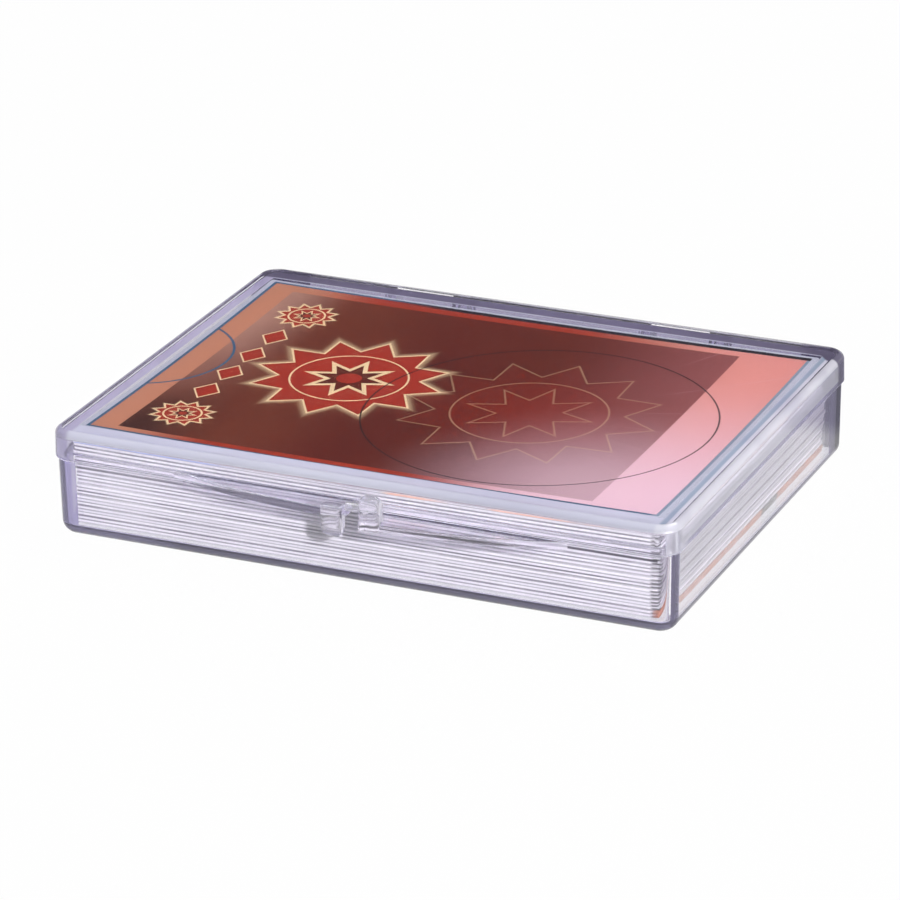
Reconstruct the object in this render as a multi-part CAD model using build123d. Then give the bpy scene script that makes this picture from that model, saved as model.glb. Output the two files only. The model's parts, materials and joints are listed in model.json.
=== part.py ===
from build123d import *
from math import cos, pi, radians, sin, sqrt, tan
import os

# A clear moulded case with a hinged lid, which holds a stack of trading cards.
# +X runs along the long side to the right, the latch is at the front (-Y), the hinges are at the
# back (+Y), and the origin is the middle of the face that the case stands on.

# Cards
card_length = 88.9
card_width = 63.5
card_thickness = 0.56
card_count = 24
stack_shift_x = -0.3
stack_shift_y = -0.85
stack_sway = 0.2
stack_sway_turns = 1.5
stack_jitter = 0.13
stack_jitter_turns = 7.7
top_card_shift_x = -0.2
top_card_shift_y = -0.1

# Room left around the cards
end_room = 1.15
side_room = 2.35
head_room = 0.12

# Base tray
base_wall = 1.5
floor_thickness = 1.4
foot_radius = 2.0
floor_corner_radius = 0.45
base_corner_radius = 2.8
base_draft = 0.8
locating_lip_height = 1.0
locating_lip_clearance = 0.1

# Lid
lid_height = 4.5
lid_wall = 1.15
lid_top_thickness = 1.25
lid_overhang = 0.4
lid_edge_radius = 1.0
lid_rim_chamfer = 0.25
lid_draft = 1.2
lid_ceiling_radius = 0.35
seam_gap = 0.06

# Finger lips and latch tabs at the front
latch_offset = 1.5
finger_lip_half_span = 29.0
finger_lip_reach = 4.1
finger_lip_thickness = 1.3
finger_lip_edge_radius = 0.3
tab_width = 3.4
tab_spacing = 2.4
tab_thickness = 1.7
tab_edge_radius = 0.8
tab_stand_out = 0.15
lid_tab_crown = 0.45
lid_tab_drop = 2.9
base_tab_rise = 4.0
tab_end_radius = 1.35
catch_height = 1.1
catch_thickness = 1.0
catch_nose_radius = 0.65
catch_clearance = 0.1

# Hinges at the back
hinge_spacing = 41.6
hinge_width = 13.6
ear_thickness = 2.0
ear_radius = 1.9
ear_side_gap = 0.15
hinge_wall_gap = 0.2
pin_radius = 0.9
pin_clearance = 0.05
pin_end_gap = 0.1
snap_mouth_width = 1.5
ear_web_drop = 3.4
knuckle_heel_gap = 0.06

# Sizes that follow from the cards and the walls
stack_height = card_count * card_thickness
cavity_half_length = card_length / 2 + end_room
cavity_half_width = card_width / 2 + side_room
base_half_length = cavity_half_length + base_wall
base_half_width = cavity_half_width + base_wall
lid_half_length = base_half_length + lid_overhang
lid_half_width = base_half_width + lid_overhang
lid_corner_radius = base_corner_radius + lid_overhang
ceiling_height = floor_thickness + stack_height + head_room
case_height = ceiling_height + lid_top_thickness
parting_height = case_height - lid_height
rim_height = parting_height + seam_gap
hinge_axis_y = lid_half_width + ear_radius + hinge_wall_gap
hinge_axis_z = parting_height

# How far a piece of a moulding reaches into the wall that it grows from
overlap = 0.5

# The smallest corner that a leaning wall draws in to, and the lean of a chamfer in degrees
least_corner_radius = 0.2
chamfer_lean = 45

# How close an edge lies to the level or plane that it is chosen by
pick_tolerance = 0.01


def walled_block(half_x, half_y, radius, low, high, lean):
    """A block with rounded upright corners. Its sizes hold at its wide end, and lean, in degrees,
    is how its walls open towards the top, or, when negative, close towards the top."""
    inset = (high - low) * tan(radians(abs(lean)))
    wide = (2 * half_x, 2 * half_y, radius)
    narrow_radius = max(radius - inset, least_corner_radius)
    narrow = (2 * (half_x - inset), 2 * (half_y - inset), narrow_radius)
    lower, upper = (narrow, wide) if lean > 0 else (wide, narrow)
    sections = [Pos(0, 0, low) * RectangleRounded(*lower), Pos(0, 0, high) * RectangleRounded(*upper)]
    return loft(sections, ruled=True)


def edges_at_height(shape, height):
    """The edges of a shape that lie flat at a height."""
    return shape.edges().filter_by_position(Axis.Z, height - pick_tolerance, height + pick_tolerance)


def block(x_range, y_range, z_range):
    """A plain block between three pairs of limits."""
    corner = (x_range[0], y_range[0], z_range[0])
    size = (x_range[1] - x_range[0], y_range[1] - y_range[0], z_range[1] - z_range[0])
    return Pos(*corner) * Box(*size, align=(Align.MIN, Align.MIN, Align.MIN))


def finger_lip(side, wall_face, low):
    """Half of a lens that stands out of the front wall. Its outer edge is one arc, and it runs from
    the latch tab on its own side to the tip where the arc meets the wall. side is 1 for the right
    half, -1 for the left."""
    radius = (finger_lip_half_span**2 + finger_lip_reach**2) / (2 * finger_lip_reach)
    centre_y = -lid_half_width - finger_lip_reach + radius
    disc = Pos(latch_offset, centre_y) * Circle(radius)
    inner_end = tab_spacing / 2
    chord = sqrt(radius**2 - (centre_y + wall_face) ** 2)
    middle_x = latch_offset + side * (inner_end + chord) / 2
    depth = finger_lip_reach + overlap + (lid_half_width - wall_face)
    middle_y = -wall_face + overlap - depth / 2
    half_plane = Pos(middle_x, middle_y) * Rectangle(chord - inner_end, depth)
    lip = extrude(Pos(0, 0, low) * (disc & half_plane), finger_lip_thickness)
    outer = lip.edges().filter_by(GeomType.CIRCLE).filter_by(lambda edge: edge.length > chord / 2)
    return fillet(outer, finger_lip_edge_radius)


def latch_tab(side, low, high, rounded_end):
    """An upright tab with rounded front corners, across the front of a finger lip. rounded_end is
    1 where its top is the rounded end and -1 where its bottom is."""
    front = -lid_half_width - finger_lip_reach - tab_stand_out
    middle_x = latch_offset + side * (tab_spacing + tab_width) / 2
    x_range = (middle_x - tab_width / 2, middle_x + tab_width / 2)
    tab = block(x_range, (front, front + tab_thickness), (low, high))
    end_height = high if rounded_end > 0 else low
    corners = edges_at_height(tab, end_height).filter_by(Axis.Y)
    tab = fillet(corners, tab_end_radius)
    front_edges = tab.edges().filter_by_position(Axis.Y, front - pick_tolerance, front + pick_tolerance)
    return fillet(front_edges, tab_edge_radius)


def catch_nub():
    """The catch on the base's tab, which reaches across the space between the tabs, over the lid's
    tab, and stops a clearance short of the lid's tab's side."""
    front = -lid_half_width - finger_lip_reach - tab_stand_out
    middle_y = front + tab_thickness / 2
    right = latch_offset + tab_spacing / 2 + overlap
    left = latch_offset - tab_spacing / 2 + catch_clearance
    low = rim_height + finger_lip_thickness
    y_range = (middle_y - catch_thickness / 2, middle_y + catch_thickness / 2)
    nub = block((left, right), y_range, (low, low + catch_height))
    nose = edges_at_height(nub, low + catch_height).filter_by(Axis.Y).sort_by(Axis.X)[0]
    return fillet(nose, catch_nose_radius)


def hinge_places():
    """The middle of each hinge along X."""
    return (-hinge_spacing / 2, hinge_spacing / 2)


def across_x(profile, x_middle, length):
    """A profile drawn as (y, z), carried along X over a length about x_middle."""
    plane = Plane(origin=(x_middle - length / 2, 0, 0), x_dir=(0, 1, 0), z_dir=(1, 0, 0))
    return extrude(plane * profile, length)


def hinge_ear(x_middle):
    """One of the two ears of a hinge on the base: a round boss on a web that grows from the back
    wall, with a bore for the lid's pin and a snap mouth that is narrower than the pin."""
    boss = Pos(hinge_axis_y, hinge_axis_z) * Circle(ear_radius)
    wall = base_half_width - overlap
    foot = hinge_axis_z - ear_radius
    web = make_face(
        Polyline(
            (wall, hinge_axis_z),
            (hinge_axis_y, hinge_axis_z),
            (hinge_axis_y, foot),
            (wall, foot - ear_web_drop + ear_radius),
            close=True,
        )
    )
    bore = Pos(hinge_axis_y, hinge_axis_z) * Circle(pin_radius + pin_clearance)
    mouth = Pos(hinge_axis_y, hinge_axis_z + ear_radius) * Rectangle(snap_mouth_width, 2 * ear_radius)
    return across_x(boss + web - bore - mouth, x_middle, ear_thickness)


def base_tray():
    """The base: floor, drafted walls, the locating lip inside the seam, the right-hand finger lip
    with its upright tab and catch, and two pairs of hinge ears."""
    outer = walled_block(
        base_half_length, base_half_width, base_corner_radius, 0, parting_height, base_draft
    )
    outer = fillet(edges_at_height(outer, 0), foot_radius)
    lip_half_length = lid_half_length - lid_wall - locating_lip_clearance
    lip_half_width = lid_half_width - lid_wall - locating_lip_clearance
    lip_corner = lid_corner_radius - lid_wall - locating_lip_clearance
    lip_top = parting_height + locating_lip_height
    lip_foot = parting_height - overlap
    outer += walled_block(lip_half_length, lip_half_width, lip_corner, lip_foot, lip_top, -lid_draft)
    cavity_corner = base_corner_radius - base_wall
    cavity = walled_block(
        cavity_half_length, cavity_half_width, cavity_corner, floor_thickness, parting_height, base_draft
    )
    cavity = fillet(edges_at_height(cavity, floor_thickness), floor_corner_radius)
    cavity += walled_block(
        cavity_half_length, cavity_half_width, cavity_corner, parting_height, lip_top + overlap, 0
    )
    tray = outer - cavity
    lip_low = parting_height - finger_lip_thickness
    tray += finger_lip(1, base_half_width, lip_low)
    tray += latch_tab(1, lip_low, parting_height + base_tab_rise, 1)
    tray += catch_nub()
    for x_middle in hinge_places():
        for side in (-1, 1):
            tray += hinge_ear(x_middle + side * (hinge_width - ear_thickness) / 2)
    return tray


def hinge_knuckle(x_middle):
    """The lid's half of a hinge: a barrel between the ears with a stub pin at each end. Its square
    heel meets the back wall of the base when the lid lies fully open."""
    length = hinge_width - 2 * ear_thickness - 2 * ear_side_gap
    barrel = Pos(hinge_axis_y, hinge_axis_z) * Circle(ear_radius)
    heel = hinge_axis_y - base_half_width - knuckle_heel_gap
    wall = lid_half_width - overlap
    top = hinge_axis_z + ear_radius
    arm = Pos((wall + hinge_axis_y + heel) / 2, (rim_height + top) / 2) * Rectangle(
        hinge_axis_y + heel - wall, top - rim_height
    )
    knuckle = across_x(barrel + arm, x_middle, length)
    pin = Pos(hinge_axis_y, hinge_axis_z) * Circle(pin_radius)
    return knuckle + across_x(pin, x_middle, hinge_width - 2 * pin_end_gap)


def hinged_lid():
    """The lid: flat top, drafted skirt with a chamfered rim that stands out over the base, the
    left-hand finger lip with its hanging tab, and two hinge knuckles."""
    shoulder = rim_height + lid_rim_chamfer
    outer = walled_block(
        lid_half_length, lid_half_width, lid_corner_radius, shoulder, case_height, -lid_draft
    )
    outer = fillet(edges_at_height(outer, case_height), lid_edge_radius)
    outer += walled_block(
        lid_half_length, lid_half_width, lid_corner_radius, rim_height, shoulder, chamfer_lean
    )
    inner = walled_block(
        lid_half_length - lid_wall,
        lid_half_width - lid_wall,
        lid_corner_radius - lid_wall,
        rim_height - overlap,
        ceiling_height,
        -lid_draft,
    )
    inner = fillet(edges_at_height(inner, ceiling_height), lid_ceiling_radius)
    lid = outer - inner
    lip_top = rim_height + finger_lip_thickness
    lid += finger_lip(-1, lid_half_width, rim_height)
    lid += latch_tab(-1, parting_height - lid_tab_drop, lip_top + lid_tab_crown, -1)
    for x_middle in hinge_places():
        lid += hinge_knuckle(x_middle)
    return lid


def card(number):
    """One card of the stack, counted from the bottom. Each lies a little out of line with the one
    below, by a slow sway and a quick jitter, and the top card lies nearly in the middle."""
    if number == card_count:
        x, y = top_card_shift_x, top_card_shift_y
    else:
        sway = 2 * pi * stack_sway_turns * number / card_count
        jitter = 2 * pi * stack_jitter_turns * number / card_count
        x = stack_shift_x - stack_sway * sin(sway) - stack_jitter * sin(jitter)
        y = stack_shift_y + stack_sway * cos(sway) + stack_jitter * cos(jitter)
    low = floor_thickness + (number - 1) * card_thickness
    align = (Align.CENTER, Align.CENTER, Align.MIN)
    return Pos(x, y, low) * Box(card_length, card_width, card_thickness, align=align)


os.makedirs("parts", exist_ok=True)
pieces = {"base_tray": base_tray(), "hinged_lid": hinged_lid()}
for number in range(1, card_count):
    pieces[f"card_{number:02d}"] = card(number)
pieces["top_card"] = card(card_count)
for node, shape in pieces.items():
    export_step(shape, f"parts/{node}.step")
print("outside of the lid", 2 * lid_half_length, 2 * lid_half_width, "height", case_height)
print("seam at", parting_height, "hinge axis at y", hinge_axis_y, "z", hinge_axis_z)
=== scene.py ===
"""The looks of a clear hinged case that holds a stack of trading cards.

The two mouldings are numpy surfaces joined into one clear skin each, the cards are softly edged
leaves of card stock, and the top card carries a generic print. Sizes are in millimetres, except in
the studio, and loft turns them into metres. +X runs along the long side, the latch is at -Y, +Z is up.
"""

import json
import logging
from dataclasses import dataclass
from enum import Enum, IntEnum
from math import cos, pi, radians, sin, tan
from typing import Callable, Union

import bpy
import numpy as np
from mathutils import Matrix, Vector


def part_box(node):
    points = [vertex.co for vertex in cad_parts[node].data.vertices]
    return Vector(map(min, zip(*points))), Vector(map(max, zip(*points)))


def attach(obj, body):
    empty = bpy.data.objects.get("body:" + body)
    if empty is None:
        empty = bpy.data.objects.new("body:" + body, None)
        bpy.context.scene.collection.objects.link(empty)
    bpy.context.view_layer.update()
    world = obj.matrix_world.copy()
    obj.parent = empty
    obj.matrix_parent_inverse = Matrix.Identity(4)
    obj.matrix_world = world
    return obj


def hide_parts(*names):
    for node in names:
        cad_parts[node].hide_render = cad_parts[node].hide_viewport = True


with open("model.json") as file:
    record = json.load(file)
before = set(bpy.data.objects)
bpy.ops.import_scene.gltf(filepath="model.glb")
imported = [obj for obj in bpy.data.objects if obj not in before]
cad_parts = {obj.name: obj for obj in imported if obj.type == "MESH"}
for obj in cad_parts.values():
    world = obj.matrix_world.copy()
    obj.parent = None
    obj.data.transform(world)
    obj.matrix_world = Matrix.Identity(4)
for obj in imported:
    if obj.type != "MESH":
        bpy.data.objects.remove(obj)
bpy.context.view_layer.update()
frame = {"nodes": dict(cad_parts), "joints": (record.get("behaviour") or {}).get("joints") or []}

MM = 0.001
WHITE = (1, 1, 1, 1)
Piece = bpy.types.Object
Value = Union["Signal", bpy.types.NodeSocket, float, tuple]
LOG = logging.getLogger("card_case")


class Body(Enum):
    """The two bodies that pieces ride on."""

    BASE = "case_base"
    LID = "case_lid"


class Skin(IntEnum):
    """The finishes of a moulding, by the number of their place on its mesh."""

    SHELL = 0
    LIP = 1
    TAB = 2
    EDGE = 3
    MARGIN = 4
    CURB = 5
    DENSE = 6


class CardKind(Enum):
    """How a card's edges are inked."""

    PLAIN = "plain"
    INKED_END = "inked_end"
    TINTED_FRONT = "tinted_front"


def hinge_axis() -> tuple:
    """The y and z of the lid's hinge axis."""
    place = next(joint for joint in frame["joints"] if joint["name"] == "lid_hinge")["pos_m"]
    return place[1] / MM, place[2] / MM


def node_box(node: str) -> tuple:
    """The low and the high corner of a node's box."""
    low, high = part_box(node)
    return np.array(low) / MM, np.array(high) / MM


def add_object(name: str, data: bpy.types.ID) -> Piece:
    """Puts a new object of this data into the scene."""
    made = bpy.data.objects.new(name, data)
    bpy.context.scene.collection.objects.link(made)
    return made


# Surfaces


def arc(centre: tuple, radius: float, start: float, end: float, steps: int) -> np.ndarray:
    """Points on a circular arc: the centre plus the radius times (cos, sin) of an even run of angles.

    Args:
        centre: The circle's centre in the plane of the profile.
        radius: The circle's radius.
        start: The first angle in degrees.
        end: The last angle in degrees.
        steps: How many points the arc has.

    Returns:
        Rows of two numbers.
    """
    angle = np.radians(np.linspace(start, end, steps))
    return np.stack([centre[0] + radius * np.cos(angle), centre[1] + radius * np.sin(angle)], axis=1)


def round_over(steps: int) -> np.ndarray:
    """A unit round from a side to an end: rows of one less sine (the inset) and one less cosine."""
    angle = np.radians(np.linspace(0, 90, steps))
    return np.stack([1 - np.sin(angle), 1 - np.cos(angle)], axis=1)


def oblong(steps: int, power: float) -> np.ndarray:
    """A unit superellipse: the signed power of the cosine and of the sine of an even turn."""
    turn = np.linspace(0, 2 * pi, steps, endpoint=False)
    unit = np.stack([np.cos(turn), np.sin(turn)], axis=1)
    return np.sign(unit) * np.abs(unit) ** power


def path(*runs: np.ndarray) -> np.ndarray:
    """Joins points and runs of points, in order, into one array of points."""
    return np.concatenate([np.atleast_2d(np.asarray(run, float)) for run in runs])


def raised(flat: np.ndarray, levels: np.ndarray) -> np.ndarray:
    """Gives rings of flat points a third column: one level for each ring, or one for all."""
    column = np.broadcast_to(np.reshape(levels, (-1, 1, 1)), flat.shape[:2] + (1,))
    return np.concatenate([flat, column], axis=2)


def swept_rings(
    profile: np.ndarray, half_x: float, half_y: float, radius: float, steps: int, runs: tuple = ()
) -> np.ndarray:
    """A profile carried round a rounded rectangle, corner after corner.

    A profile point is (outward, up) from the rectangle's edge. A point of its ring is its corner's
    centre plus the radius, grown by outward, times the cosine and sine of its angle, at the height up.

    Args:
        profile: Rows of (outward, up).
        half_x: Half the rectangle's length along X.
        half_y: Half the rectangle's width along Y.
        radius: The rectangle's corner radius.
        steps: How many points each quarter turn has.
        runs: For each corner, how far along the straight sides one more point stands before and after it.

    Returns:
        Rings as an array of shape (profile points, ring points, 3).
    """
    quarter = np.linspace(0, pi / 2, steps)
    along = np.zeros((4, steps))
    if runs:
        quarter = np.concatenate([quarter[:1], quarter, quarter[-1:]])
        far = np.array(runs)[:, None]
        along = np.concatenate([-far, along, far], axis=1)
    angle = (np.arange(4)[:, None] * pi / 2 + quarter).ravel()
    signs = np.repeat([[1, 1], [-1, 1], [-1, -1], [1, -1]], len(quarter), axis=0)
    onward = np.stack([-np.sin(angle), np.cos(angle)], axis=1) * along.ravel()[:, None]
    centres = signs * np.array([half_x - radius, half_y - radius]) + onward
    outward = np.stack([np.cos(angle), np.sin(angle)], axis=1)
    return raised(centres + (radius + profile[:, 0])[:, None, None] * outward, profile[:, 1])


def loft(name: str, rings: np.ndarray, skins: np.ndarray = Skin.SHELL, caps: Skin = Skin.SHELL) -> Piece:
    """A closed skin over rings of equal length, with a face over the first and the last ring.

    Ring point (i, j) joins (i, j + 1), (i + 1, j + 1) and (i + 1, j), and j wraps round. The signed
    volume, a sixth of the sum of the triple products of the skin's triangles, says whether the
    faces look outwards, and where it is negative all of them are turned.

    Args:
        name: The new object's name.
        rings: An array of shape (rings, ring points, 3).
        skins: The finish of the faces between rings, as one for all or one for each (i, j).
        caps: The finish of the faces over the first and the last ring.

    Returns:
        The new object, which lies at the origin.
    """
    count, length = rings.shape[:2]
    i, j = np.meshgrid(np.arange(count - 1), np.arange(length), indexing="ij")
    after = (j + 1) % length
    here, above = i * length, (i + 1) * length
    quads = np.stack([here + j, here + after, above + after, above + j], axis=-1).reshape(-1, 4)
    points = rings.reshape(-1, 3) * MM
    a, b, c, d = (points[quads[:, k]] for k in range(4))
    volume = np.einsum("ij,ij->", a, np.cross(b, c)) + np.einsum("ij,ij->", a, np.cross(c, d))
    first = np.arange(length)[::-1]
    last = np.arange(length) + (count - 1) * length
    for cap in (first, last):
        volume += np.einsum("j,ij->", points[cap[0]], np.cross(points[cap[1:-1]], points[cap[2:]]))
    faces = quads.tolist() + [first.tolist(), last.tolist()]
    if volume < 0:
        faces = [face[::-1] for face in faces]
    mesh = bpy.data.meshes.new(name)
    mesh.from_pydata(points.tolist(), [], faces)
    mesh.validate()
    numbers = np.append(np.broadcast_to(skins, (count - 1, length)), [caps, caps])
    mesh.polygons.foreach_set("material_index", numbers.astype(np.int32))
    return add_object(name, mesh)


def read(items: bpy.types.bpy_prop_collection, field: str, kind: type = np.int32) -> np.ndarray:
    """One number of each face, corner or edge of a mesh."""
    numbers = np.zeros(len(items), kind)
    items.foreach_get(field, numbers)
    return numbers


def fuse(name: str, shell: Piece, parts: list) -> Piece:
    """Joins closed skins that overlap into one closed skin, and removes the parts.

    Each face keeps its finish's number, for which all the skins first get as many blank places.

    Args:
        name: The joined object's name.
        shell: The largest skin.
        parts: The skins that grow from it.

    Returns:
        The joined object, with its place in its mesh.
    """
    blanks = [bpy.data.materials.new(skin.name) for skin in Skin]
    for mesh in (skinned.data for skinned in (shell, *parts)):
        numbers = read(mesh.polygons, "material_index")
        for blank in blanks:
            mesh.materials.append(blank)
        mesh.polygons.foreach_set("material_index", numbers)
    for part in parts:
        union = shell.modifiers.new(part.name, "BOOLEAN")
        union.operation = "UNION"
        union.solver = "EXACT"
        union.object = part
    bpy.context.view_layer.update()
    depsgraph = bpy.context.evaluated_depsgraph_get()
    mesh = bpy.data.meshes.new_from_object(shell.evaluated_get(depsgraph))
    mesh.name = name
    for part in (shell, *parts):
        bpy.data.objects.remove(part)
    return add_object(name, mesh)


def smooth(piece: Piece, crease: float) -> None:
    """Shades a piece smoothly between creases, with its flat faces kept flat.

    An edge is also sharp where a lip or tab grows from a shell.

    Args:
        piece: The mesh object.
        crease: The angle in degrees from which an edge stays sharp.
    """
    mesh = piece.data
    mesh.polygons.foreach_set("use_smooth", np.ones(len(mesh.polygons), bool))
    mesh.set_sharp_from_angle(angle=radians(crease))
    grown = np.isin(read(mesh.polygons, "material_index"), [Skin.LIP, Skin.TAB, Skin.CURB, Skin.DENSE])
    grown = np.repeat(grown, read(mesh.polygons, "loop_total"))
    beside = np.bincount(read(mesh.loops, "edge_index"), grown, len(mesh.edges))
    sharp = read(mesh.edges, "use_edge_sharp", bool)
    mesh.edges.foreach_set("use_edge_sharp", sharp | (beside == 1))
    weighted = piece.modifiers.new("flat faces", "WEIGHTED_NORMAL")
    weighted.keep_sharp = True
    weighted.weight = 80


# Shader maths


class Signal:
    """One output of a shader node. Arithmetic on it adds Math nodes."""

    def __init__(self, sheet: "Sheet", socket: bpy.types.NodeSocket) -> None:
        """Wraps a socket of a sheet's node tree."""
        self.sheet = sheet
        self.socket = socket

    def math(self, operation: str, *others: Value) -> "Signal":
        """A Math node of this operation on this signal and the others."""
        return self.sheet.number(operation, self, *others)

    def __add__(self, other: Value) -> "Signal":
        """The sum."""
        return self.math("ADD", other)

    __radd__ = __add__

    def __sub__(self, other: Value) -> "Signal":
        """The difference."""
        return self.math("SUBTRACT", other)

    def __rsub__(self, other: Value) -> "Signal":
        """The difference from a number."""
        return self.sheet.number("SUBTRACT", other, self)

    def __mul__(self, other: Value) -> "Signal":
        """The product."""
        return self.math("MULTIPLY", other)

    __rmul__ = __mul__

    def __abs__(self) -> "Signal":
        """The distance from zero."""
        return self.math("ABSOLUTE")

    def most(self, other: Value) -> "Signal":
        """The larger of the two."""
        return self.math("MAXIMUM", other)

    def ramp(self, low: float, high: float) -> "Signal":
        """0 at low and 1 at high, with a soft start and end. low may lie above high."""
        settings = {"interpolation_type": "SMOOTHSTEP"}
        values = {"Value": self, "From Min": low, "From Max": high, "To Min": 0.0, "To Max": 1.0}
        return self.sheet.signal("ShaderNodeMapRange", settings, values)

    def inside(self, soft: float) -> "Signal":
        """1 where this distance is below zero and 0 above, over a soft edge."""
        return self.ramp(soft / 2, -soft / 2)

    def line(self, half: float, soft: float) -> "Signal":
        """1 on a line of a half width along the zero of this distance."""
        return (abs(self) - half).inside(soft)


class Sheet:
    """The node tree of a material or a world, with the place as a vector and as x, y and z."""

    def __init__(self, tree: bpy.types.NodeTree, output: str = "Object", scale: float = 1 / MM) -> None:
        """Empties a tree and adds its coordinates.

        Args:
            tree: The node tree.
            output: Which coordinates are read.
            scale: What turns the vector's parts into x, y and z.
        """
        self.tree = tree
        tree.nodes.clear()
        self.vector = self.node("ShaderNodeTexCoord").outputs[output]
        parts = self.node("ShaderNodeSeparateXYZ", values={"Vector": self.vector})
        self.x, self.y, self.z = (Signal(self, part) * scale for part in parts.outputs)

    def node(self, kind: str, settings: dict = None, values: dict = None) -> bpy.types.Node:
        """Adds a node.

        Args:
            kind: The node's type.
            settings: Its settings, which are set first.
            values: The values or links of its input sockets, by name or number.

        Returns:
            The node.
        """
        made = self.tree.nodes.new(kind)
        for name, value in (settings or {}).items():
            setattr(made, name, value)
        for name, value in (values or {}).items():
            value = value.socket if isinstance(value, Signal) else value
            if isinstance(value, bpy.types.NodeSocket):
                self.tree.links.new(value, made.inputs[name])
            else:
                made.inputs[name].default_value = value
        return made

    def shader(self, kind: str, values: dict) -> bpy.types.NodeSocket:
        """Adds a shader and gives its output."""
        return self.node("ShaderNode" + kind, None, values).outputs[0]

    def signal(self, kind: str, settings: dict = None, values: dict = None, output: int | str = 0) -> Signal:
        """Adds a node and wraps one of its outputs."""
        return Signal(self, self.node(kind, settings, values).outputs[output])

    def number(self, operation: str, *values: Value) -> Signal:
        """A Math node of this operation on these values."""
        return self.signal("ShaderNodeMath", {"operation": operation}, dict(enumerate(values)))

    def mix(self, share: Value, under: Value, over: Value) -> Signal:
        """A colour between two others, which are colours or signals."""
        return self.signal("ShaderNodeMix", {"data_type": "RGBA"}, {0: share, 6: under, 7: over}, 2)

    def paint(self, ground: Value, *coats: tuple) -> Signal:
        """A ground colour under coats, each of them a share and a colour laid over all before it."""
        for share, colour in coats:
            ground = self.mix(share, ground, colour)
        return ground

    def noise(self, scale: float, detail: float = 2.0, stretch: tuple = (1, 1, 1)) -> Signal:
        """Soft noise between 0 and 1, finer with scale and drawn out by stretch."""
        mapped = self.node("ShaderNodeMapping", values={"Vector": self.vector, "Scale": stretch})
        values = {"Vector": mapped.outputs[0], "Scale": scale, "Detail": detail}
        return self.signal("ShaderNodeTexNoise", None, values)

    def attribute(self, name: str) -> Signal:
        """A number that the mesh carries at its points."""
        return self.signal("ShaderNodeAttribute", {"attribute_name": name}, output="Fac")

    def bump(self, height: Signal, distance: float, strength: float = 1.0) -> Signal:
        """A normal that follows a height between 0 and 1, over a distance in metres."""
        values = {"Height": height, "Distance": distance, "Strength": strength}
        return self.signal("ShaderNodeBump", None, values)

    def ray(self, kind: str) -> Signal:
        """What Light Path says of a ray."""
        return self.signal("ShaderNodeLightPath", output=kind)

    def seen(self) -> Signal:
        """1 for rays that show a surface or the world to the camera, straight or by gloss and glass,
        and 0 for the rays that gather the light on a matt surface."""
        straight, gloss, glass = (self.ray(f"Is {kind} Ray") for kind in ("Camera", "Glossy", "Transmission"))
        gathered = self.ray("Diffuse Depth").math("MINIMUM", 1.0)
        return straight.most(gloss).most(glass) * (1 - gathered)

    def finish(self, surface: bpy.types.NodeSocket) -> None:
        """Links a surface shader to the output."""
        self.node("ShaderNodeOutputMaterial", values={"Surface": surface})


def srgb(red: int, green: int, blue: int) -> tuple:
    """A display colour from 0 to 255 as linear light: the sRGB curve undone."""
    share = np.array([red, green, blue]) / 255
    linear = np.where(share <= 0.04045, share / 12.92, ((share + 0.055) / 1.055) ** 2.4)
    return (*(float(v) for v in linear), 1.0)


def material(name: str) -> tuple:
    """A new material and its sheet."""
    made = bpy.data.materials.new(name)
    made.use_nodes = True
    return made, Sheet(made.node_tree)


# Finishes


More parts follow.
